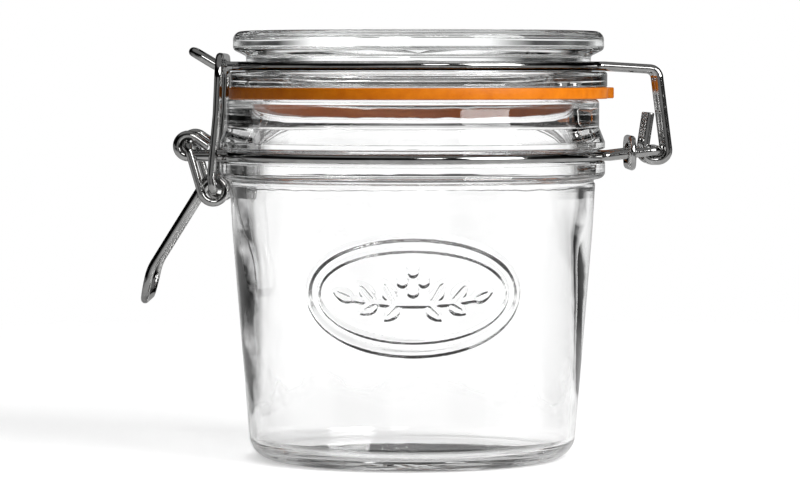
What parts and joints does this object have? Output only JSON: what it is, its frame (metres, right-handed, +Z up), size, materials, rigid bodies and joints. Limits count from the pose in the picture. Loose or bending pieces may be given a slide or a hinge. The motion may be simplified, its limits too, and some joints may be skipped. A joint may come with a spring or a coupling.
{
  "type": "clip-top preserving jar",
  "caption": "Empty glass preserving jar with a hinged glass lid on a rubber seal, held shut by a bent-wire clamp.",
  "frame": {"origin": "on the jar's axis, at the level of the foot it stands on", "axes": "+Z up; +X from the jar's axis towards the hinge, so the clamp lever is on the -X side; +Y across, away from the viewer when the lever is on the left"},
  "size_m": [0.1317, 0.0972, 0.1065],
  "materials": {
    "glass": "clear, polished, lightly wavy inside",
    "wire": "bright drawn steel",
    "seal": "matt orange rubber"
  },
  "bodies": {
    "jar": {"jar_glass": "glass", "neck_wire": "wire", "keeper_ring": "wire"},
    "lid": {"lid_glass": "glass", "seal": "seal", "lid_wire": "wire"},
    "lever": {"clamp_lever": "wire"},
    "link": {"clamp_link": "wire"}
  },
  "joints": [
    {"name": "lid_hinge", "type": "hinge", "parent": "jar", "child": "lid", "pos_m": [0.0608, 0, 0.077], "axis": [0, 1, 0], "range_deg": [0, 200]},
    {"name": "lever_pivot", "type": "hinge", "parent": "jar", "child": "lever", "pos_m": [-0.0551, 0, 0.0782], "axis": [0, 1, 0], "range_deg": [0, 110]},
    {"name": "link_pivot", "type": "hinge", "parent": "lever", "child": "link", "pos_m": [-0.0489, 0, 0.0673], "axis": [0, 1, 0], "range_deg": [-145, 0]}
  ],
  "couplings": [
    {"joint": "lever_pivot", "follows": "lid_hinge", "ratio": 0.55},
    {"joint": "link_pivot", "follows": "lid_hinge", "ratio": -0.725}
  ]
}
